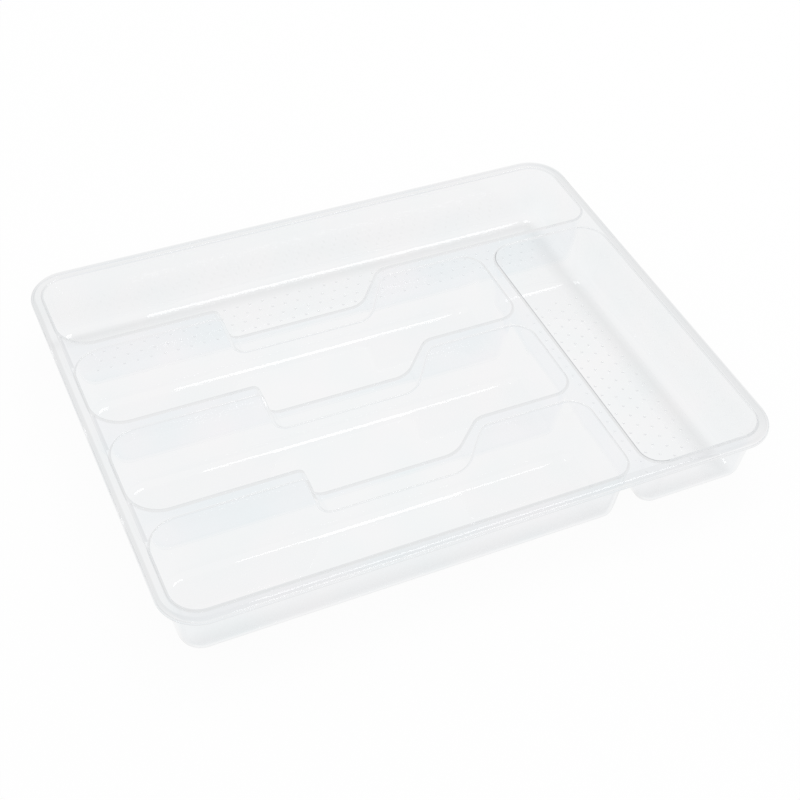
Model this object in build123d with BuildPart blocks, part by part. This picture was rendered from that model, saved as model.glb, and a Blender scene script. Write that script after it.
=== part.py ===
from build123d import *
from math import radians, tan
import os

# A clear plastic cutlery tray, 390 x 305 x 45 mm, moulded in one go.
# X runs along the long side, Y to the back, Z up. The origin is on the table,
# under the middle of the tray. The one moulding is drawn as the closed sections
# that a person can point to. They meet face to face and share one skin thickness.

# Overall size, in mm
tray_width = 390.0
tray_depth = 305.0
tray_height = 45.0
skin = 1.8

# Lean of every wall, in degrees, which lets the tray leave its mould and stack
draft_angle = 7.0

# Rim
rim_width = 8.2
rim_corner_radius = 25.0
lip_height = 4.0
lip_round = 3.0

# Compartments: the rows and the back one share the depth equally
side_compartment_width = 83.0
divider_width = 8.7
side_divider_width = 10.3
floor_round = 7.0

# Corners of the compartments at their mouths, seen from above
left_corner_radius = 20.0
inner_corner_radius = 13.0
side_back_corner_radius = 17.0

# Finger dip in each divider between two rows
dip_level = 13.5
dip_width = 103.2
dip_offset = 15.8
dip_lean = 15.5
dip_top_round = 6.5
dip_bottom_round = 10.0

# One overrun for every cut
overrun = 5.0

# Most of a corner's radius that a floor's round may take up
round_share = 0.95

# Lines that the sections share, worked out from the sizes above
draft = tan(radians(draft_angle))
inner_left = rim_width - tray_width / 2
inner_right = tray_width / 2 - rim_width
inner_front = rim_width - tray_depth / 2
inner_back = tray_depth / 2 - rim_width
outer_corner_radius = rim_corner_radius - rim_width
row_depth = (inner_back - inner_front - 3 * divider_width) / 4
row_pitch = row_depth + divider_width
side_left = inner_right - side_compartment_width
rows_right = side_left - side_divider_width
deck_underside = tray_height - skin

# Front edge of each row of compartments, from the front row to the back one
front_edges = [inner_front + row_pitch * number for number in range(4)]
back_edges = [edge + row_depth for edge in front_edges]

# Each compartment's mouth: left, right, front and back edge, then the radii of its
# corners in the order front left, front right, back right, back left
compartments = {
    "row_compartment_3": (
        (inner_left, rows_right, front_edges[0], back_edges[0]),
        (outer_corner_radius, inner_corner_radius, inner_corner_radius, left_corner_radius),
    ),
    "row_compartment_2": (
        (inner_left, rows_right, front_edges[1], back_edges[1]),
        (left_corner_radius, inner_corner_radius, inner_corner_radius, left_corner_radius),
    ),
    "row_compartment_1": (
        (inner_left, rows_right, front_edges[2], back_edges[2]),
        (left_corner_radius, inner_corner_radius, inner_corner_radius, left_corner_radius),
    ),
    "back_compartment": (
        (inner_left, inner_right, front_edges[3], back_edges[3]),
        (left_corner_radius, inner_corner_radius, outer_corner_radius, outer_corner_radius),
    ),
    "side_compartment": (
        (side_left, inner_right, front_edges[0], back_edges[2]),
        (inner_corner_radius, outer_corner_radius, side_back_corner_radius, side_back_corner_radius),
    ),
}


def draw_mouth(sketch, edges, radii, grow):
    """Draw a compartment's mouth in the open sketch, grown on every side."""
    left, right, front, back = edges[0] - grow, edges[1] + grow, edges[2] - grow, edges[3] + grow
    with Locations(((left + right) / 2, (front + back) / 2)):
        Rectangle(right - left, back - front)
    corners = ((left, front), (right, front), (right, back), (left, back))
    for (x, y), radius in zip(corners, radii):
        fillet(sketch.vertices().sort_by_distance((x, y, 0))[0], radius + grow)


def floor_rounding(radii, grow):
    """Radius between floor and walls, held inside the tightest corner down there."""
    tightest = min(radii) + grow - tray_height * draft
    return min(floor_round + grow, tightest * round_share)


# Hollow of each compartment, from its floor up to its mouth and past it
hollows = []
for edges, radii in compartments.values():
    with BuildPart() as hollow:
        with BuildSketch(Plane.XY.offset(tray_height)) as mouth:
            draw_mouth(mouth, edges, radii, 0)
        extrude(amount=-deck_underside, taper=draft_angle)
        fillet(hollow.faces().sort_by(Axis.Z)[0].edges(), floor_rounding(radii, 0))
        extrude(mouth.sketch, amount=overrun)
    hollows.append(hollow.part)


# Middle of the finger dips, and where their slanted ends meet the two levels
dip_middle = (inner_left + rows_right) / 2 + dip_offset
end_slant = (tray_height - dip_level) * tan(radians(dip_lean)) / 2
dip_half_top = dip_width / 2 + end_slant
dip_half_bottom = dip_width / 2 - end_slant


def divider_line(left, right, sink):
    """Top line of a divider seen from the front, or a line that lies sink below it."""
    sideways = sink * tan(radians(90 - dip_lean) / 2)
    high = tray_height - sink
    low = dip_level - sink
    FilletPolyline(
        (left, high),
        (dip_middle - dip_half_top - sideways, high),
        (dip_middle - dip_half_bottom - sideways, low),
        (dip_middle + dip_half_bottom + sideways, low),
        (dip_middle + dip_half_top + sideways, high),
        (right, high),
        radius=[dip_top_round - sink, dip_bottom_round + sink, dip_bottom_round + sink, dip_top_round - sink],
    )


# Space above the walls: flat at the deck, and sunk where the dividers dip. The dips
# run from the middle of the front row to the middle of the back compartment.
dips_front = (front_edges[0] + back_edges[0]) / 2
dips_back = (front_edges[3] + back_edges[3]) / 2
with BuildPart() as wall_trim:
    with BuildSketch(Plane.XY.offset(deck_underside)):
        Rectangle(tray_width, tray_depth)
    extrude(amount=skin + overrun)
    with BuildSketch(Plane.XZ.offset(-dips_front)):
        with BuildLine():
            divider_line(inner_left, inner_right, skin)
            Polyline(
                (inner_right, deck_underside),
                (inner_right, tray_height + overrun),
                (inner_left, tray_height + overrun),
                (inner_left, deck_underside),
            )
        make_face()
    extrude(amount=dips_front - dips_back)


# Compartments: pans with one skin all round, open at the top, flat underneath
os.makedirs("parts", exist_ok=True)
for (name, (edges, radii)), hollow in zip(compartments.items(), hollows):
    with BuildPart() as pan:
        with BuildSketch(Plane.XY.offset(tray_height)) as mouth:
            draw_mouth(mouth, edges, radii, skin)
        extrude(amount=-tray_height, taper=draft_angle)
        fillet(pan.faces().sort_by(Axis.Z)[0].edges(), floor_rounding(radii, skin))
        add(hollow, mode=Mode.SUBTRACT)
        add(wall_trim.part, mode=Mode.SUBTRACT)
    pan.part.label = name
    export_step(pan.part, "parts/" + name + ".step")


# Lines where the dividers butt against the rim and against each other, each one
# where the compartments' corners begin and the divider's two edges run straight
rim_web_left = inner_left + left_corner_radius
rim_web_right = inner_right - max(side_back_corner_radius, inner_corner_radius)
rim_web_front = inner_front + max(outer_corner_radius, inner_corner_radius)
side_web_left = rows_right - inner_corner_radius
side_web_right = side_left + max(side_back_corner_radius, inner_corner_radius)
back_web_front = back_edges[2] - max(side_back_corner_radius, inner_corner_radius)

# Room that a divider's foot takes on each side of its top, where it dips lowest
foot_reach = row_depth / 4


def make_divider(name, left, right, front, back):
    """Make a hollow divider's top skin, with its dip, between the given lines."""
    with BuildPart() as divider:
        with BuildSketch(Plane.XZ.offset(-front)):
            with BuildLine() as outline:
                divider_line(left, right, 0)
                divider_line(left, right, skin)
                Line((left, tray_height), (left, deck_underside))
                Line((right, tray_height), (right, deck_underside))
            make_face()
        extrude(amount=front - back)
        for hollow in hollows:
            add(hollow, mode=Mode.SUBTRACT)
    divider.part.label = name
    export_step(divider.part, "parts/" + name + ".step")


make_divider(
    "back_divider", rim_web_left, rim_web_right, back_web_front, front_edges[3] + foot_reach
)
for number in (1, 2):
    make_divider(
        "row_divider_" + str(number),
        rim_web_left,
        side_web_left,
        back_edges[2 - number] - foot_reach,
        front_edges[3 - number] + foot_reach,
    )


# Side divider: the flat ridge between the rows and the side compartment
with BuildPart() as side_divider:
    with BuildSketch(Plane.XY.offset(deck_underside)):
        with Locations(((side_web_left + side_web_right) / 2, (rim_web_front + back_web_front) / 2)):
            Rectangle(side_web_right - side_web_left, back_web_front - rim_web_front)
    extrude(amount=skin)
    for hollow in hollows:
        add(hollow, mode=Mode.SUBTRACT)
side_divider.part.label = "side_divider"
export_step(side_divider.part, "parts/side_divider.step")


# Space under the rim: it leaves one skin for the deck and the turned-down lip
with BuildPart() as under_rim:
    with BuildSketch(Plane.XY.offset(tray_height - lip_height)):
        RectangleRounded(tray_width - 2 * skin, tray_depth - 2 * skin, rim_corner_radius - skin)
    extrude(amount=lip_height - skin)
    fillet(under_rim.faces().sort_by(Axis.Z)[-1].edges(), lip_round - skin)

# Rim: the flat flange, its lip, and the webs in its corners where dividers begin
with BuildPart() as rim:
    with BuildSketch(Plane.XY.offset(tray_height - lip_height)):
        RectangleRounded(tray_width, tray_depth, rim_corner_radius)
    extrude(amount=lip_height)
    fillet(rim.faces().sort_by(Axis.Z)[-1].edges(), lip_round)
    add(under_rim.part, mode=Mode.SUBTRACT)
    for hollow in hollows:
        add(hollow, mode=Mode.SUBTRACT)
    with BuildSketch(Plane.XY.offset(tray_height - lip_height)):
        with Locations(((rim_web_left + rim_web_right) / 2, (rim_web_front + dips_back) / 2)):
            Rectangle(rim_web_right - rim_web_left, dips_back - rim_web_front)
    extrude(amount=lip_height + overrun, mode=Mode.SUBTRACT)
rim.part.label = "rim"
export_step(rim.part, "parts/rim.step")
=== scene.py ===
# %% [markdown]
# # A clear plastic cutlery tray
# The real tray is one injection moulding, 390 mm wide. A hot, clear plastic is
# pressed between two steel halves, so the tray is a skin of one thickness that
# runs without a seam from the rim's lip over the dividers, down the walls and
# across every floor. Clear plastic hides nothing: each inner seam, doubled face
# or sharp corner would show as a dark line. So the whole skin is built here as
# one closed mesh, and it stands for all the solids of the frame.

from math import asin, ceil, cos, pi, radians, sin, sqrt, tan

import bmesh
import bpy
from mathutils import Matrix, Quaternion, Vector


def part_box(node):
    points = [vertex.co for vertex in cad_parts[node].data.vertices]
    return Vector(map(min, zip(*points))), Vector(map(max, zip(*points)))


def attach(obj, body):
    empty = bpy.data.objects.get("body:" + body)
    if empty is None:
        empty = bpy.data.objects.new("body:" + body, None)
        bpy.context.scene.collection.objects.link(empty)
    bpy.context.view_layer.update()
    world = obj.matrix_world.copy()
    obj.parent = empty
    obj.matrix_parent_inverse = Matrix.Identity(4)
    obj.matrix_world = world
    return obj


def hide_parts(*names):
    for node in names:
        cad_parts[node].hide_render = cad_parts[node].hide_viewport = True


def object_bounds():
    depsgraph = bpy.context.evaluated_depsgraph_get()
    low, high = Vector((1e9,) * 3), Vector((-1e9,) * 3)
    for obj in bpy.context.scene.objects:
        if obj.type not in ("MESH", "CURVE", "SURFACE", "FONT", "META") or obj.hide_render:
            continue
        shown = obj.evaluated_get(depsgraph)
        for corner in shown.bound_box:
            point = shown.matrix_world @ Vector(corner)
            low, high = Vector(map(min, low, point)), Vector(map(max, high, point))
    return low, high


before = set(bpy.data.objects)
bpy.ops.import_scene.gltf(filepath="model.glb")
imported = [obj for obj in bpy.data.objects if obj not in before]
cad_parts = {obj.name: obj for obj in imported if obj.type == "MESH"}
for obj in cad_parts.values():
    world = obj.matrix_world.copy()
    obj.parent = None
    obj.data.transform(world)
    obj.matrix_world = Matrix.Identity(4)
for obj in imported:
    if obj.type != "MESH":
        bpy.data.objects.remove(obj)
cad_low, cad_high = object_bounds()
print("Solids in the frame:", ", ".join(sorted(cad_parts)))

# %% [markdown]
# ## Sizes
# Lengths are in metres, and `mm` turns a millimetre into one. Whatever the
# frame's boxes can tell is read from them: the outer size, the mouth of every
# compartment and how deep the dividers dip. What a box can't tell, such as a
# radius or the lean of a wall, is a named value here.

# %% Sizes of the moulding
mm = 0.001
skin = 1.8 * mm
draft_angle = radians(7)
draft = tan(draft_angle)
floor_round = 7 * mm
edge_round = 0.5 * mm
# The narrow ring beside each mouth is a row of faces that gets painted shade.
edge_ring = 0.4 * mm

rim_corner_radius = 25 * mm
rim_width = 8.2 * mm
lip_height = 4 * mm
lip_round = 3 * mm
lip_edge_round = 0.5 * mm

left_corner = 20 * mm
inner_corner = 13 * mm
side_back_corner = 17 * mm
outer_corner = rim_corner_radius - rim_width

dip_width = 103.2 * mm
dip_offset = 15.8 * mm
dip_lean = radians(15.5)
dip_top_round = 6.5 * mm
dip_bottom_round = 10 * mm

tray_top = cad_high.z
dip_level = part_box("row_divider_1")[0].z + skin
print(f"The tray is {(cad_high.x - cad_low.x) / mm:.0f} mm wide and {tray_top / mm:.0f} mm high")
print(f"The dividers dip to {dip_level / mm:.1f} mm")

# %% [markdown]
# ## Camera
# The tray is seen from above its front left corner, 45 degrees down. The place
# and the lens come from matching the rim, the parallel dividers and the grid of
# floor dots with the photograph. The picture also leans a little, so the camera
# rolls about its own view line.

# %% Camera
camera_place = Vector((-301.38, -609.23, 679.71)) * mm
camera_aim = Vector((9.09, 0.18, 0)) * mm
camera_roll = radians(3.787)
focal_pixels = 1479.2
image_width = 800

camera_data = bpy.data.cameras.new("camera")
camera_data.sensor_width = 36
camera_data.lens = focal_pixels * camera_data.sensor_width / image_width
camera = bpy.data.objects.new("camera", camera_data)
camera.location = camera_place
camera.rotation_mode = "QUATERNION"
look = (camera_aim - camera_place).to_track_quat("-Z", "Y")
camera.rotation_quaternion = look @ Quaternion((0, 0, 1), camera_roll)
bpy.context.scene.collection.objects.link(camera)
bpy.context.scene.camera = camera
print(f"Lens {camera_data.lens:.1f} mm, {(camera_aim - camera_place).length:.2f} m from the tray")

# %% [markdown]
# ## Mouths of the compartments
# Every pan in the frame is one skin larger than the hollow inside it, less what
# the wall leans in on the way down to the deck's underside. Taking that off its
# box gives the mouth of the compartment.

# %% Mouth edges, read from the frame
corner_radii = {  # front left, front right, back right, back left
    "back_compartment": (left_corner, inner_corner, outer_corner, outer_corner),
    "row_compartment_1": (left_corner, inner_corner, inner_corner, left_corner),
    "row_compartment_2": (left_corner, inner_corner, inner_corner, left_corner),
    "row_compartment_3": (outer_corner, inner_corner, inner_corner, left_corner),
    "side_compartment": (inner_corner, outer_corner, side_back_corner, side_back_corner),
}
dips_in_front = ("back_compartment", "row_compartment_1", "row_compartment_2")
dips_behind = ("row_compartment_1", "row_compartment_2", "row_compartment_3")


def mouth_edges(name):
    """Left, right, front and back edge of a compartment's mouth."""
    low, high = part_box(name)
    step = skin - skin * draft
    return low.x + step, high.x - step, low.y + step, high.y - step


mouths = {name: mouth_edges(name) for name in corner_radii}
for name, edges in mouths.items():
    print(name, "mouth from", [round(edge / mm, 1) for edge in edges])

# %% [markdown]
# ## The dividers' top line
# Seen from the front, the top of each divider between two rows runs level, dips
# for the fingers and comes up again. It is drawn from arcs and straight runs:
# a convex bend at the top of each slope and a wider hollow one at its foot. Each
# point also keeps how far the surface leans there, because the skin is later
# laid square to the surface and not straight down.

# %% Top line of a divider
arc_step = radians(7.5)
rows_left, rows_right = mouths["row_compartment_1"][:2]
dip_middle = (rows_left + rows_right) / 2 + dip_offset
dip_slope = pi / 2 - dip_lean
end_slant = (tray_top - dip_level) * tan(dip_lean) / 2
top_corner = dip_width / 2 + end_slant
bottom_corner = dip_width / 2 - end_slant


def dip_line():
    """Points (x, z, lean) of the dip from left to right, lean being 0 where it is level."""
    steps = ceil(dip_slope / arc_step)
    leans = [dip_slope * step / steps for step in range(steps + 1)]
    top_x = top_corner + dip_top_round * tan(dip_slope / 2)
    bottom_x = bottom_corner - dip_bottom_round * tan(dip_slope / 2)
    half = []
    for lean in leans:
        x = -top_x + dip_top_round * sin(lean)
        half.append((x, tray_top - dip_top_round * (1 - cos(lean)), lean))
    for lean in reversed(leans):
        x = -bottom_x - dip_bottom_round * sin(lean)
        half.append((x, dip_level + dip_bottom_round * (1 - cos(lean)), lean))
    other_half = [(-x, z, -lean) for x, z, lean in reversed(half)]
    return [(dip_middle + x, z, lean) for x, z, lean in half + other_half]


dip_points = dip_line()
print(f"The dip has {len(dip_points)} points and starts at x = {dip_points[0][0] / mm:.1f} mm")

# %% [markdown]
# ## Outline of a mouth
# A mouth is a rectangle with a different radius at each corner. Each point of
# the outline holds its place, the direction that points out of the compartment,
# and the height and lean of the deck there. Where the edge runs along a dip, it
# takes the dip's own points, so that both sides of a divider have matching ones.
# The outline comes in named runs, which makes the dips easy to find again.

# %% Outline of a mouth
corner_steps = 16


def corner_points(centre_x, centre_y, radius, start_angle):
    """Points of a quarter turn, counter-clockwise seen from above."""
    points = []
    for step in range(corner_steps + 1):
        angle = start_angle + pi / 2 * step / corner_steps
        out = (cos(angle), sin(angle))
        x, y = centre_x + radius * out[0], centre_y + radius * out[1]
        points.append((x, y, out, tray_top, 0))
    return points


def mouth_outline(edges, radii, dip_front=False, dip_back=False):
    """Runs of points (x, y, out, height, lean) round a mouth, counter-clockwise."""
    left, right, front, back = edges
    front_left, front_right, back_right, back_left = radii
    front_dip = [(x, front, (0, -1), z, lean) for x, z, lean in dip_points]
    back_dip = [(x, back, (0, 1), z, lean) for x, z, lean in reversed(dip_points)]
    return {
        "front left": corner_points(left + front_left, front + front_left, front_left, pi),
        "front dip": front_dip if dip_front else [],
        "front right": corner_points(
            right - front_right, front + front_right, front_right, -pi / 2
        ),
        "back right": corner_points(right - back_right, back - back_right, back_right, 0),
        "back dip": back_dip if dip_back else [],
        "back left": corner_points(left + back_left, back - back_left, back_left, pi / 2),
    }


def in_one_row(runs):
    """All the items of the runs, one after another."""
    return [item for run in runs.values() for item in run]


middle_row = mouth_outline(
    mouths["row_compartment_2"], corner_radii["row_compartment_2"], dip_front=True, dip_back=True
)
print("Points round the mouth of the middle row:", len(in_one_row(middle_row)))

# %% [markdown]
# ## One column of the skin
# Below every point of the outline hangs a column of points. It starts with a
# narrow ring on the deck, turns over the deck's edge, follows the leaning wall
# down and ends through the wide bend in the floor. The bends are arcs of a ball
# that touches both surfaces, so wall, bend and floor meet without a crease, as
# they do on the moulding. The same column, `sink` deeper, gives the other side
# of the skin.

# %% Column of points from the deck to the floor
up = Vector((0, 0, 1))
down = Vector((0, 0, -1))
edge_steps = 4
floor_steps = 8


def arc_between(start, end, steps):
    """Unit directions that turn evenly from start to end."""
    angle = start.angle(end)
    return [
        (start * sin(angle * (1 - step / steps)) + end * sin(angle * step / steps)) / sin(angle)
        for step in range(steps + 1)
    ]


def wall_place(point, grow, height):
    """Where a compartment's leaning wall is, under a point of the outline, at a height."""
    x, y, out, _, _ = point
    reach = grow - (tray_top - height) * draft
    return Vector((x + out[0] * reach, y + out[1] * reach, height))


def compartment_column(point, sink, floor_height):
    """Points of one side of the skin under a point of the outline, from deck to floor."""
    x, y, out, deck_height, lean = point
    deck_side = Vector((sin(lean), 0, cos(lean)))
    wall_side = Vector((-out[0] * cos(draft_angle), -out[1] * cos(draft_angle), sin(draft_angle)))
    level_out = Vector((out[0], out[1], 0))

    # Ball inside the edge: it touches the deck and the wall
    inset = sink + edge_round
    ball_height = deck_height - inset * cos(lean)
    moved = (x - inset * sin(lean), y, out, deck_height, lean)
    touch = wall_place(moved, sink, ball_height + edge_round * sin(draft_angle))
    ball = touch - wall_side * edge_round
    column = [ball + deck_side * edge_round + level_out * edge_ring]
    column += [ball + side * edge_round for side in arc_between(deck_side, wall_side, edge_steps)]

    # Ball on the floor: it touches the wall and the floor from inside
    radius = floor_round + sink
    touch = wall_place(moved, sink, floor_height + radius * (1 - sin(draft_angle)))
    ball = touch + wall_side * radius
    column += [ball + side * radius for side in arc_between(-wall_side, down, floor_steps)]
    return column


print("Points in a column:", len(compartment_column(middle_row["front left"][0], 0, skin)))

# %% [markdown]
# ## Weaving columns into faces
# Neighbouring columns have the same number of points, so four-sided faces fit
# between them. Where an edge looks darker than the flat beside it, that shade is
# painted: its rows of faces get a mark in the attribute `edge_shade`, which the
# material reads later. It runs from 0, no painted shade, to 1, the darkest edge.
#
# The level areas are left open at first: the deck round the mouths, and the
# floors. Their outlines are the level edges that have a face on one side only,
# and Blender fills all those at one height, holes included, in one call.

# %% Weaving and filling
level_tolerance = 0.01 * mm
no_marks = {}


def add_points(mesh, column):
    """Put a column's points in the mesh."""
    return [mesh.verts.new(place) for place in column]


def weave(mesh, columns, closed=True, marks=no_marks):
    """Fill four-sided faces between neighbouring columns, and mark some rows with painted shade.
    """
    shade = mesh.faces.layers.float["edge_shade"]
    following = columns[1:] + columns[:1] if closed else columns[1:]
    for near, far in zip(columns, following):
        for row in range(len(near) - 1):
            face = mesh.faces.new((near[row], far[row], far[row + 1], near[row + 1]))
            face[shade] = marks.get(row, 0)


def fill_level(mesh, height):
    """Fill the open loops that lie level at a height, and count the faces."""
    def lies_level(edge):
        return all(abs(vert.co.z - height) < level_tolerance for vert in edge.verts)

    outlines = [edge for edge in mesh.edges if edge.is_boundary and lies_level(edge)]
    made = bmesh.ops.triangle_fill(mesh, use_beauty=True, use_dissolve=False, edges=outlines)
    return sum(1 for item in made["geom"] if isinstance(item, bmesh.types.BMFace))


# %% [markdown]
# ## Floor dots
# The back and the side compartment have rows of small raised dots, which keep
# flat things from sticking to the floor. Neighbouring rows are set half a step
# along, so each dot has six at the same distance. A bump texture would only
# fake their shading, and clear plastic is seen from both sides, so the dots are
# real caps in the mesh, each cut from a small ball. Their steep sides bend the
# light most and look dark in the photograph, so those rows of faces are marked.
# Those marks are painted shade: a darker tone in the plastic's colour.

# %% Dots on a floor
dot_pitch = 9.22 * mm
dot_row_pitch = dot_pitch * sqrt(3) / 2
dot_radius = 1 * mm
dot_ball = 1.04 * mm
dot_steepest = asin(dot_radius / dot_ball)
dot_height = dot_ball * (1 - cos(dot_steepest))
dot_sides = 16
dot_rings = 5
# Painted shade: these rows of the dots' steep sides get a darker tone.
dot_marks = {2: 0.26, 3: 0.26}


def dot_places(centre, rows, dots_in_row, rows_along_x, first_shift):
    """Centres of a field of dots round a centre, every second row set half a step along."""
    places = []
    for row in range(rows):
        across = (row - (rows - 1) / 2) * dot_row_pitch
        shift = (row + first_shift) % 2
        for number in range(dots_in_row - shift):
            along = (number - (dots_in_row - 1 - shift) / 2) * dot_pitch
            offset = (along, across) if rows_along_x else (across, along)
            places.append((centre[0] + offset[0], centre[1] + offset[1]))
    return places


def add_dot(mesh, x, y, floor_height):
    """Raise one round dot, whose open foot the floor is then filled up to."""
    columns = []
    centre = floor_height - dot_ball * cos(dot_steepest)
    top = mesh.verts.new((x, y, centre + dot_ball))
    for side in range(dot_sides):
        angle = 2 * pi * side / dot_sides
        column = []
        for ring in range(1, dot_rings + 1):
            slope = dot_steepest * ring / dot_rings
            radius = dot_ball * sin(slope)
            height = centre + dot_ball * cos(slope)
            place = (x + radius * cos(angle), y + radius * sin(angle), height)
            column.append(mesh.verts.new(place))
        columns.append(column)
    weave(mesh, columns, marks=dot_marks)
    for near, far in zip(columns, columns[1:] + columns[:1]):
        mesh.faces.new((top, near[0], far[0]))


print(f"A dot is {2 * dot_radius / mm:.0f} mm wide and {dot_height / mm:.2f} mm high")

# %% [markdown]
# Both fields lie about in the middle of their floors. The small shifts come from
# the photograph. The side field's rows run front to back, and the back field's
# run from left to right.

# %% Places of the dots
side_rows = 6
side_dots_in_row = 19
side_shift = Vector((0.75, -0.12)) * mm
back_rows = 4
back_dots_in_row = 37
back_shift = Vector((1.1, -0.84)) * mm


def floor_middle(name):
    """Middle of a compartment, seen from above."""
    left, right, front, back = mouths[name]
    return Vector(((left + right) / 2, (front + back) / 2))


side_centre = floor_middle("side_compartment") + side_shift
back_centre = floor_middle("back_compartment") + back_shift
dots = dot_places(side_centre, side_rows, side_dots_in_row, False, 1)
dots += dot_places(back_centre, back_rows, back_dots_in_row, True, 0)
print("Raised dots:", len(dots))

# %% [markdown]
# ## The rim's flange and lip
# Outside the mouths, the deck is a flat flange and ends in a lip that turns down
# all round. It makes the thin rim stiff and gives the fingers a smooth edge. A
# column starts with a fine line on the deck, just outside the mouths, crosses the
# flange and stops above the lip's lower edge, which is rounded when both sides of
# the skin are joined. On the underside, the walls take up one skin of the flange
# and leave a narrower one.

# %% Column of the flange and the lip
lip_steps = 8
flange_width = 7.1 * mm
# The fine line is a narrow row of faces on the deck; its darker tone is painted shade from the
# rim's marks.
flange_line = 0.4 * mm


def lip_column(point, sink):
    """Points across the flange, then round and down the lip."""
    x, y, out, _, _ = point
    level_out = Vector((out[0], out[1], 0))
    ball = Vector((x, y, tray_top - lip_round)) - level_out * lip_round
    radius = lip_round - sink
    width = flange_width - 2 * sink
    deck_edge = Vector((x, y, tray_top - sink))
    column = [deck_edge - level_out * width, deck_edge - level_out * (width - flange_line)]
    column += [ball + side * radius for side in arc_between(up, level_out, lip_steps)]
    column.append(ball + level_out * radius - up * (lip_height - lip_round - lip_edge_round))
    return column


rim_edges = (cad_low.x, cad_high.x, cad_low.y, cad_high.y)
rim_outline = in_one_row(mouth_outline(rim_edges, (rim_corner_radius,) * 4))
print("Points round the rim:", len(rim_outline))
print("Points across the rim:", len(lip_column(rim_outline[0], 0)))

# %% [markdown]
# ## Painted shade on the mouths' edges
# Clear plastic looks darkest at its edges, where it is seen along its length. A
# second, darker material could show that. A mark on the faces is simpler: it can
# have any strength and fade from one face to the next. Along every mouth, the
# narrow ring on the deck and the first half of the edge's bend are marked a
# little. The left edge of the side compartment is the darkest in the photograph
# and gets the full mark. The numbers before the colons count the rows of faces,
# from the deck down.

# %% Marks of the mouths' edges
# Painted shade: these marks mix a darker tone into the plastic along each mouth, and the full
# mark along the side compartment's left edge.
mouth_marks = {0: 0.15, 1: 0.15, 2: 0.15}
darkest_edge_shade_marks = {0: 1, 1: 1, 2: 1}
print("Marked rows round a mouth:", len(mouth_marks))

# %% [markdown]
# ## Painted shade on the rim
# The rim has one mark for each row of faces: first the fine line, then the
# flange, then the eight rows of the lip's bend. In the photograph, the rim's ends
# are darker than its long sides, the left end in the bend and the right end on
# the flange as well. Round the corners, the marks fade into each other. The two
# parts of a direction, squared, always add up to 1, so they can serve as the
# shares of an end and of a long side.

# %% Marks of the rim
# Painted shade: the rim's rows get a darker tone, more at its ends than on its long sides.
long_side_marks = (0.25, 0.13, 0.2, 0.2, 0.2, 0.2, 0, 0, 0, 0)
left_end_marks = (0.5, 0.13, 0.33, 0.45, 0.42, 0.36, 0.3, 0.22, 0.15, 0.15)
right_end_marks = (0.25, 0.36, 0.34, 0.28, 0.15, 0.1, 0, 0, 0, 0)


def rim_marks(out):
    """Marks of painted shade on the rim's rows where the rim faces a level direction."""
    to_left, to_right = max(0, -out[0]) ** 2, max(0, out[0]) ** 2
    to_long_side = out[1] ** 2
    sides = zip(left_end_marks, right_end_marks, long_side_marks)
    return {
        row: left * to_left + right * to_right + long_side * to_long_side
        for row, (left, right, long_side) in enumerate(sides)
    }


print("Marked rows of the rim:", len(long_side_marks))

# %% [markdown]
# ## The rim's painted inner line
# At the left end, a dark line runs along the inner side of the rim and straight
# on over the ends of the three dividers that dip. There it is painted shade on a
# face of its own, a long narrow strip a little inside the tray's end. It lies in
# the deck like an island, and the deck is filled round it.

# %% Strip on a divider's left end
strip_inset = 7.3 * mm
strip_width = 1.8 * mm
strip_length = 30 * mm
# Painted shade: the strip is a dark line in the plastic's colour.
painted_strip_shade = 0.4


def add_end_strip(mesh, behind, before):
    """Put a strip of painted shade on the left end of the divider between two compartments."""
    middle = (mouths[behind][2] + mouths[before][3]) / 2
    left = cad_low.x + strip_inset
    right = left + strip_width
    front, back = middle - strip_length / 2, middle + strip_length / 2
    corners = [(left, front), (right, front), (right, back), (left, back)]
    strip = mesh.faces.new(add_points(mesh, [Vector((x, y, tray_top)) for x, y in corners]))
    strip[mesh.faces.layers.float["edge_shade"]] = painted_strip_shade


# %% [markdown]
# ## One pan of the skin
# A compartment's outline and its columns make one pan. The left side of the mouth
# is woven apart from the rest, because the side compartment has its darkest
# painted shade there. It runs from half way round the back corner to the end of
# the front one. Only the top side of the skin is marked with painted shade.

# %% Making a pan
half_corner = corner_steps // 2


def add_pan(mesh, name, sink, floor_height):
    """Add one side of a compartment's pan, and return its columns by run."""
    dip_front, dip_back = name in dips_in_front, name in dips_behind
    outline = mouth_outline(mouths[name], corner_radii[name], dip_front, dip_back)
    columns = {
        run: [add_points(mesh, compartment_column(point, sink, floor_height)) for point in points]
        for run, points in outline.items()
    }
    left_side = columns["back left"][half_corner:] + columns["front left"]
    others = columns["front left"][-1:] + columns["front dip"] + columns["front right"]
    others += columns["back right"] + columns["back dip"]
    others += columns["back left"][:half_corner + 1]

    on_top = sink == 0
    # Painted shade on the mouth's edges, on the top side only.
    left_marks = darkest_edge_shade_marks if name == "side_compartment" else mouth_marks
    weave(mesh, left_side, closed=False, marks=left_marks if on_top else no_marks)
    weave(mesh, others, closed=False, marks=mouth_marks if on_top else no_marks)
    return columns


# %% [markdown]
# ## One side of the skin
# The top and the underside of the moulding are the same surface twice, the
# second one skin deeper. This function makes either: five pans, the strips that
# bridge the dips, the rim's flange and lip, and last the level deck and floors
# between them. The top side also gets the dots and the strips of painted shade on
# the dividers' ends. The function returns the lip's last points, where the two
# sides are joined.

# %% Making one side of the skin
def add_rim(mesh, sink):
    """Add one side of the flange and the lip, and return its columns."""
    columns = [add_points(mesh, lip_column(point, sink)) for point in rim_outline]
    for point, near, far in zip(rim_outline, columns, columns[1:] + columns[:1]):
        # Painted shade on the rim's rows, on the top side only.
        marks = rim_marks(point[2]) if sink == 0 else no_marks
        weave(mesh, [near, far], closed=False, marks=marks)
    return columns


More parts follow.
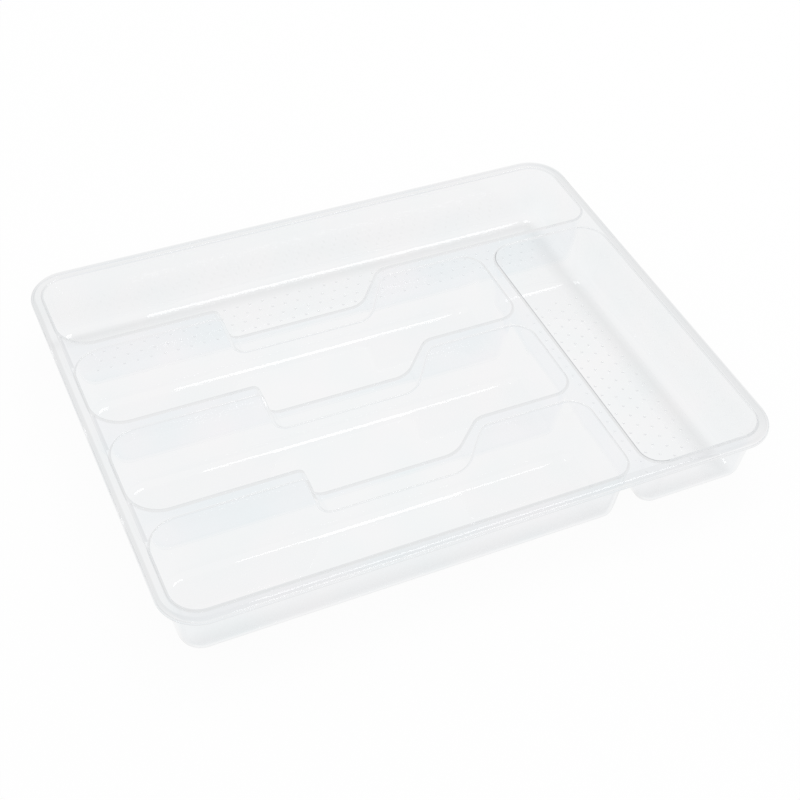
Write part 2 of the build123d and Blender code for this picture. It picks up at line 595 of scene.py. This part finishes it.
def skin_side(mesh, sink, floor_height, raised_dots):
    """Add the top (sink 0) or the underside (sink one skin) to the mesh."""
    pans = {name: add_pan(mesh, name, sink, floor_height) for name in mouths}
    for behind, before in zip(dips_in_front, dips_behind):
        upper_ends = [column[0] for column in reversed(pans[before]["back dip"])]
        opposite_ends = [column[0] for column in pans[behind]["front dip"]]
        weave(mesh, list(zip(upper_ends, opposite_ends)), closed=False)

    rim_columns = add_rim(mesh, sink)
    if sink == 0:
        for behind, before in zip(dips_in_front, dips_behind):
            add_end_strip(mesh, behind, before)
    for x, y in raised_dots:
        add_dot(mesh, x, y, floor_height)
    print("Faces in the deck:", fill_level(mesh, tray_top - sink))
    print("Faces in the floors:", fill_level(mesh, floor_height))
    return [column[-1] for column in rim_columns]


# %% [markdown]
# ## Joining both sides under the lip
# The lip's lower edge is where the two halves of the mould meet. It is a narrow
# flat foot with a small round on each side. Each quarter round is drawn from the
# directions of a few angles, once towards the outside and once towards the
# inside.

# %% Foot of the lip
foot_steps = 3
foot_angles = [pi / 2 * step / foot_steps for step in range(1, foot_steps + 1)]


def lip_foot(mesh, upper, under):
    """Points round the lip's lower edge, from its outer side to its inner side."""
    level_in = Vector((under.co.x - upper.co.x, under.co.y - upper.co.y, 0)).normalized()
    outer = upper.co + level_in * lip_edge_round
    inner = under.co - level_in * lip_edge_round
    places = []
    for angle in foot_angles:
        places.append(outer - (level_in * cos(angle) + up * sin(angle)) * lip_edge_round)
    for angle in reversed(foot_angles):
        places.append(inner + (level_in * cos(angle) - up * sin(angle)) * lip_edge_round)
    return [upper] + add_points(mesh, places) + [under]


# %% [markdown]
# ## The whole tray
# Both sides of the skin are made and joined, and the faces are turned to point
# outwards. A closed skin has two faces at every edge, and the printed count
# proves it. The volume times the density of the plastic gives the weight, a good
# check on the wall: such trays weigh 350 to 500 g.

# %% The tray's skin
floor_top = skin
plastic_density = 1050
cubic_cm = 1e-6
gram = 0.001

mesh = bmesh.new()
mesh.faces.layers.float.new("edge_shade")
upper_lip = skin_side(mesh, 0, floor_top, dots)
under_lip = skin_side(mesh, skin, 0, ())
weave(mesh, [lip_foot(mesh, upper, under) for upper, under in zip(upper_lip, under_lip)])
bmesh.ops.recalc_face_normals(mesh, faces=mesh.faces)

open_edges = sum(1 for edge in mesh.edges if not edge.is_manifold)
volume = mesh.calc_volume(signed=True)
print(f"{len(mesh.faces)} faces, {open_edges} open edges")
print(f"{volume / cubic_cm:.0f} cm3 of plastic, {volume * plastic_density / gram:.0f} g")

# %% [markdown]
# ## The tray as an object
# The faces are shaded smooth. Long flat faces next to small bent ones would pull
# the shading askew, so a Weighted Normal modifier lets the large faces keep
# their own direction. The object rides on the frame's one body and stands for
# every solid of it.

# %% The tray's object
tray_mesh = bpy.data.meshes.new("tray_moulding")
mesh.to_mesh(tray_mesh)
mesh.free()
for face in tray_mesh.polygons:
    face.use_smooth = True
tray = bpy.data.objects.new("tray_moulding", tray_mesh)
bpy.context.scene.collection.objects.link(tray)
shading = tray.modifiers.new("even_shading", "WEIGHTED_NORMAL")
shading.keep_sharp = True
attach(tray, "root")
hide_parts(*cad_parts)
print(tray.name, "has", len(tray_mesh.vertices), "points")

# %% [markdown]
# ## Clear plastic: its tone
# Polystyrene is almost as clear as glass and bends light a little more. Its
# tone isn't quite even: where the hot plastic flowed and cooled at different
# speeds, soft clouds of a slightly cooler and a slightly warmer clear show. A
# Noise Texture makes them, 4 to 5 cm wide. Along an edge, part of the light is
# led away inside the wall, so an edge looks darker than the flat beside it. That
# shade is painted: the marks made above mix a darker tone into the colour.

# %% Tone of the plastic
cool_clear = (0.962, 0.98, 0.988, 1)
warm_clear = (0.99, 0.987, 0.993, 1)
# Painted shade: the dark tone mixed in wherever the faces are marked.
painted_edge_shade_tone = (0.45, 0.46, 0.47, 1)
clouds_per_metre = 22
cloud_low = 0.3
cloud_high = 0.7

plastic = bpy.data.materials.new("clear_polystyrene")
plastic.use_nodes = True
tree = plastic.node_tree


def colour_mix(tree, factor, first, second):
    """A Mix node for colours. The first colour is a socket or a value, the second a value."""
    mix = tree.nodes.new("ShaderNodeMix")
    mix.data_type = "RGBA"
    tree.links.new(factor, mix.inputs["Factor"])
    if isinstance(first, tuple):
        mix.inputs["A"].default_value = first
    else:
        tree.links.new(first, mix.inputs["A"])
    mix.inputs["B"].default_value = second
    return mix.outputs["Result"]


place = tree.nodes.new("ShaderNodeTexCoord")
clouds = tree.nodes.new("ShaderNodeTexNoise")
clouds.inputs["Scale"].default_value = clouds_per_metre
clouds.inputs["Detail"].default_value = 1
tree.links.new(place.outputs["Object"], clouds.inputs["Vector"])
spread = tree.nodes.new("ShaderNodeMapRange")
spread.inputs["From Min"].default_value = cloud_low
spread.inputs["From Max"].default_value = cloud_high
tree.links.new(clouds.outputs[0], spread.inputs["Value"])
# The marks of painted shade on the faces are read here.
edges = tree.nodes.new("ShaderNodeAttribute")
edges.attribute_name = "edge_shade"
cloudy_tone = colour_mix(tree, spread.outputs["Result"], cool_clear, warm_clear)
tone = colour_mix(tree, edges.outputs["Fac"], cloudy_tone, painted_edge_shade_tone)
print("Tone nodes:", len(tree.nodes))

# %% [markdown]
# ## Clear plastic: its shader
# The shader is a Principled one with full transmission and no roughness. Even a
# trace of roughness loses some light at each bounce, and light that is caught
# inside a wall bounces hundreds of times, so it would come out black. The volume
# absorbs a trace of light over the long ways inside the skin, as real
# polystyrene does.

# %% Shader of the plastic
polystyrene_bending = 1.56
absorbed_tint = (0.5, 0.6, 0.66, 1)
absorbed_per_metre = 0.1

shader = tree.nodes["Principled BSDF"]
shader.inputs["Roughness"].default_value = 0
shader.inputs["IOR"].default_value = polystyrene_bending
shader.inputs["Transmission Weight"].default_value = 1
tree.links.new(tone, shader.inputs["Base Color"])
absorber = tree.nodes.new("ShaderNodeVolumeAbsorption")
absorber.inputs["Color"].default_value = absorbed_tint
absorber.inputs["Density"].default_value = absorbed_per_metre
tree.links.new(absorber.outputs["Volume"], tree.nodes["Material Output"].inputs["Volume"])
tray_mesh.materials.append(plastic)
print("The tray is made of", tray_mesh.materials[0].name)

# %% [markdown]
# ## Paper floor: painted and real shade round the tray's foot
# The tray lies on white paper. A clear thing takes nearly all its tone from what
# is behind it, so the paper's tone matters more here than any lamp. Under most
# of the tray the paper is bright, because light comes down through the open
# mouths. A narrow dark band runs along the right, back and front, where the floor
# bends up into the wall and leads the light away. Outside it the paper is bright
# again, and then the rim's shade begins. This cell measures how far a point of
# the paper is from the middle, as a share of the foot's half size. A Color Ramp
# turns that share into the shade.

# %% Shade round the foot
far_share = 1.25
shade_stops = (  # share of the foot's half size, shade there
    (0.7, 0),
    (0.88, 0.1),
    (0.94, 0.6),
    (0.98, 0.15),
    (1.03, 0.1),
    (1.15, 0.65),
)
wall_run = tray_top * draft
foot_half_width = mouths["side_compartment"][1] + skin - wall_run
foot_half_depth = mouths["back_compartment"][3] + skin - wall_run

paper = bpy.data.materials.new("white_paper")
paper.use_nodes = True
tree = paper.node_tree


def math_node(tree, operation, first, second=0.0):
    """A Math node whose two inputs are sockets or plain numbers."""
    node = tree.nodes.new("ShaderNodeMath")
    node.operation = operation
    for socket, value in zip(node.inputs, (first, second)):
        if isinstance(value, (int, float)):
            socket.default_value = value
        else:
            tree.links.new(value, socket)
    return node.outputs[0]


place = tree.nodes.new("ShaderNodeTexCoord")
split = tree.nodes.new("ShaderNodeSeparateXYZ")
tree.links.new(place.outputs["Object"], split.inputs[0])
to_the_right = math_node(tree, "DIVIDE", split.outputs["X"], foot_half_width)
from_middle = math_node(tree, "ABSOLUTE", split.outputs["Y"])
to_the_ends = math_node(tree, "DIVIDE", from_middle, foot_half_depth)
outward = math_node(tree, "MAXIMUM", to_the_right, to_the_ends)
# The ramp's shade is partly painted: it lowers the paper's glow by place round the foot. It also
# lets more lit paper show, whose shadow is real.
ramp = tree.nodes.new("ShaderNodeValToRGB")
stops = ramp.color_ramp.elements
while len(stops) < len(shade_stops):
    stops.new(1)
for stop, (share, shade) in zip(stops, shade_stops):
    stop.position = share / far_share
    stop.color = (shade, shade, shade, 1)
tree.links.new(math_node(tree, "DIVIDE", outward, far_share), ramp.inputs[0])
foot_shade = ramp.outputs[0]
print(f"The foot reaches x = {foot_half_width / mm:.1f} mm and y = {foot_half_depth / mm:.1f} mm")

# %% [markdown]
# ## Paper floor: glow and shadow
# The paper is a mix of a plain glow and real, lit paper. The camera sees the
# glow at strength 1, which is white, and a little of the lit paper, which keeps
# the tray's shadow. Seen through the plastic, the paper is a trace darker. Where
# it is shaded, the glow is painted darker and more of the lit paper shows, so the
# real shadow round the foot is seen through the walls too, mixed with painted shade.

# %% Paper floor
floor_half = 4
floor_drop = 0.3 * mm
paper_tone = (0.8, 0.8, 0.8, 1)
lit_part = 0.05
lit_part_in_shade = 0.25
glow_in_tray = 0.96
glow_lost_in_shade = 0.04

path = tree.nodes.new("ShaderNodeLightPath")
straight = path.outputs["Is Camera Ray"]
not_straight = math_node(tree, "SUBTRACT", 1, straight)
shaded = math_node(tree, "MULTIPLY", foot_shade, not_straight)
more_lit = math_node(tree, "MULTIPLY", shaded, lit_part_in_shade)
lit = math_node(tree, "ADD", more_lit, lit_part)
# Painted shadow: the glow is lowered where the ramp shades the paper.
lost = math_node(tree, "MULTIPLY", foot_shade, glow_lost_in_shade)
level = math_node(tree, "SUBTRACT", glow_in_tray, lost)
glow = tree.nodes.new("ShaderNodeEmission")
tree.links.new(math_node(tree, "MAXIMUM", straight, level), glow.inputs["Strength"])

lit_paper = tree.nodes["Principled BSDF"]
lit_paper.inputs["Base Color"].default_value = paper_tone
lit_paper.inputs["Roughness"].default_value = 1
blend = tree.nodes.new("ShaderNodeMixShader")
tree.links.new(lit, blend.inputs[0])
tree.links.new(glow.outputs[0], blend.inputs[1])
tree.links.new(lit_paper.outputs[0], blend.inputs[2])
tree.links.new(blend.outputs[0], tree.nodes["Material Output"].inputs["Surface"])

floor_mesh = bpy.data.meshes.new("floor")
corners = [(-floor_half, -floor_half, 0), (floor_half, -floor_half, 0)]
corners += [(floor_half, floor_half, 0), (-floor_half, floor_half, 0)]
floor_mesh.from_pydata(corners, [], [range(4)])
floor_mesh.materials.append(paper)
floor = bpy.data.objects.new("floor", floor_mesh)
floor.location.z = -floor_drop
bpy.context.scene.collection.objects.link(floor)
print(f"The floor is {2 * floor_half} m wide")

# %% [markdown]
# ## White room
# The world is an even white room of strength 1. Light that leaves the plastic
# sees the room a little darker. Most of that light was led through the walls, so
# the far edges of the mouths come out as the fine grey lines of the photograph.

# %% White room
lost_in_walls = 0.16

world = bpy.data.worlds.new("white_room")
bpy.context.scene.world = world
world.use_nodes = True
tree = world.node_tree
path = tree.nodes.new("ShaderNodeLightPath")
loss = math_node(tree, "MULTIPLY", path.outputs["Is Transmission Ray"], lost_in_walls)
room = math_node(tree, "SUBTRACT", 1, loss)
tree.links.new(room, tree.nodes["Background"].inputs["Color"])
print("Seen through the plastic, the room has strength", 1 - lost_in_walls)

# %% [markdown]
# ## Softbox
# One wide lamp hangs over the right half of the tray and faces straight down.
# The wide bend between each back wall and floor mirrors it as a long bright
# line. How far those lines run in the photograph gives the lamp's left and right
# edge. Its back edge stays short of where the level floors and the front rim
# would mirror it. Light inside the plastic doesn't see the lamp, because a few
# hits of a bright lamp after hundreds of bounces would only be white grain.

# %% Softbox
lamp_left = 0.1
lamp_right = 0.78
lamp_front = -0.03
lamp_back = 0.59
lamp_height = 1.2
lamp_power = 3.4

lamp_data = bpy.data.lights.new("overhead_softbox", "AREA")
lamp_data.shape = "RECTANGLE"
lamp_data.size = lamp_right - lamp_left
lamp_data.size_y = lamp_back - lamp_front
lamp_data.energy = lamp_power
lamp = bpy.data.objects.new("overhead_softbox", lamp_data)
lamp.location = ((lamp_left + lamp_right) / 2, (lamp_front + lamp_back) / 2, lamp_height)
lamp.visible_transmission = False
bpy.context.scene.collection.objects.link(lamp)
print(f"Softbox of {lamp_data.size:.2f} by {lamp_data.size_y:.2f} m, {lamp_power} W")

# %% [markdown]
# ## Long ways of the light
# Light that enters the skin near an edge is mirrored inside it hundreds of times
# before it gets out. Blender stops after 12 bounces unless it is told otherwise,
# and each stopped ray is a black speck. It also ends long ways at random to save
# time, which makes edges grainy. Both limits are raised to the same number.

# %% Long ways of the light
longest_way = 400

scene = bpy.context.scene
scene.view_settings.view_transform = "Standard"
scene.cycles.max_bounces = longest_way
scene.cycles.min_light_bounces = longest_way
scene.cycles.glossy_bounces = longest_way
scene.cycles.transmission_bounces = longest_way
print("Bounces allowed:", scene.cycles.max_bounces)
